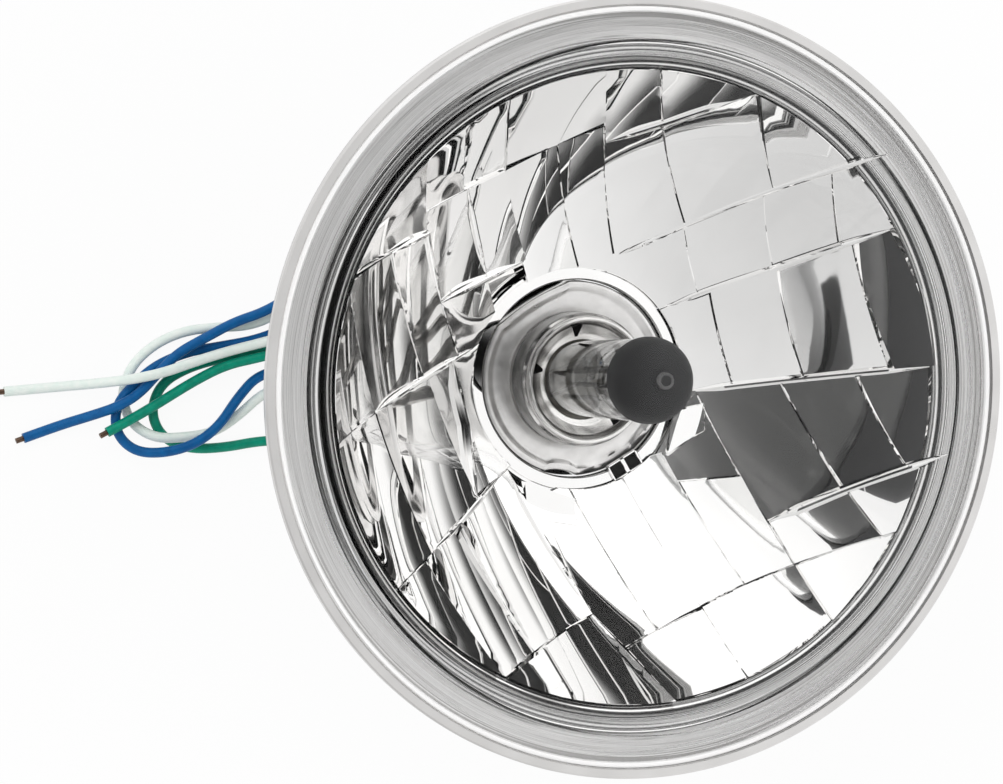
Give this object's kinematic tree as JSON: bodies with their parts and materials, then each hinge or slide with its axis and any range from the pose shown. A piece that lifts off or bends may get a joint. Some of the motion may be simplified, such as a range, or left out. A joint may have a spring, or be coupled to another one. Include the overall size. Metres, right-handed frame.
{
  "type": "headlamp unit",
  "caption": "Round headlamp unit: domed clear lens, faceted mirror reflector, capped twin-filament bulb with spring clip, and a plug with loose bare-ended wires.",
  "frame": {"origin": "on the lamp's axis at the flat back of its plug, which it stands on, face up", "axes": "+Z along the optical axis out of the lens, +Y to the lamp's top as mounted, +X to its right-hand side seen from the front"},
  "size_m": [0.1717, 0.146, 0.1126],
  "materials": {
    "lens_glass": "clear, polished",
    "reflector_chrome": "mirror, vacuum metallised",
    "sealant": "matt pale grey",
    "zinc_steel": "zinc plated, satin",
    "screw_steel": "zinc plated",
    "rivet_steel": "satin",
    "spring_steel": "drawn wire",
    "bulb_metal": "satin nickel",
    "bulb_glass": "clear",
    "cap_black": "matt dark grey coating",
    "tungsten": "drawn wire",
    "shield_metal": "satin",
    "post_metal": "bright wire",
    "cement": "matt",
    "insulator": "matt black",
    "blade_brass": "tinned brass",
    "plug_plastic": "black nylon",
    "grommet_rubber": "matt",
    "wire_blue": "semi-gloss PVC",
    "wire_white": "semi-gloss PVC",
    "wire_green": "semi-gloss PVC",
    "copper": "cut copper strands"
  },
  "bodies": {
    "plug": {"plug_housing": "plug_plastic", "plug_rear_cover": "plug_plastic", "plug_sockets": "blade_brass", "wire_grommets": "grommet_rubber", "wire_blue": "wire_blue", "wire_white": "wire_white", "wire_green": "wire_green", "core_blue": "copper", "core_white": "copper", "core_green": "copper"},
    "lamp": {"lens": "lens_glass", "reflector": "reflector_chrome", "lens_seal": "sealant", "bulb_holder": "zinc_steel", "holder_screws": "screw_steel", "holder_rivets": "rivet_steel", "clip_bracket": "zinc_steel", "latch_hooks": "zinc_steel", "bulb_flange": "bulb_metal", "bulb_cup": "bulb_metal", "bulb_glass": "bulb_glass", "bulb_black_cap": "cap_black", "low_beam_filament": "tungsten", "high_beam_filament": "tungsten", "low_beam_shield": "shield_metal", "filament_posts": "post_metal", "glass_pinch": "bulb_glass", "bulb_base": "bulb_metal", "base_cement": "cement", "base_insulator": "insulator", "terminal_ground": "blade_brass", "terminal_low_beam": "blade_brass", "terminal_high_beam": "blade_brass"},
    "clip": {"bulb_clip": "spring_steel"}
  },
  "joints": [
    {"name": "plug_pull", "type": "slide", "parent": "plug", "child": "lamp", "axis": [0, 0, 1], "range_m": [0, 0.016]},
    {"name": "clip_swing", "type": "hinge", "parent": "lamp", "child": "clip", "pos_m": [0, -0.0255, 0.04834], "axis": [-1, 0, 0], "range_deg": [0, 90]}
  ]
}
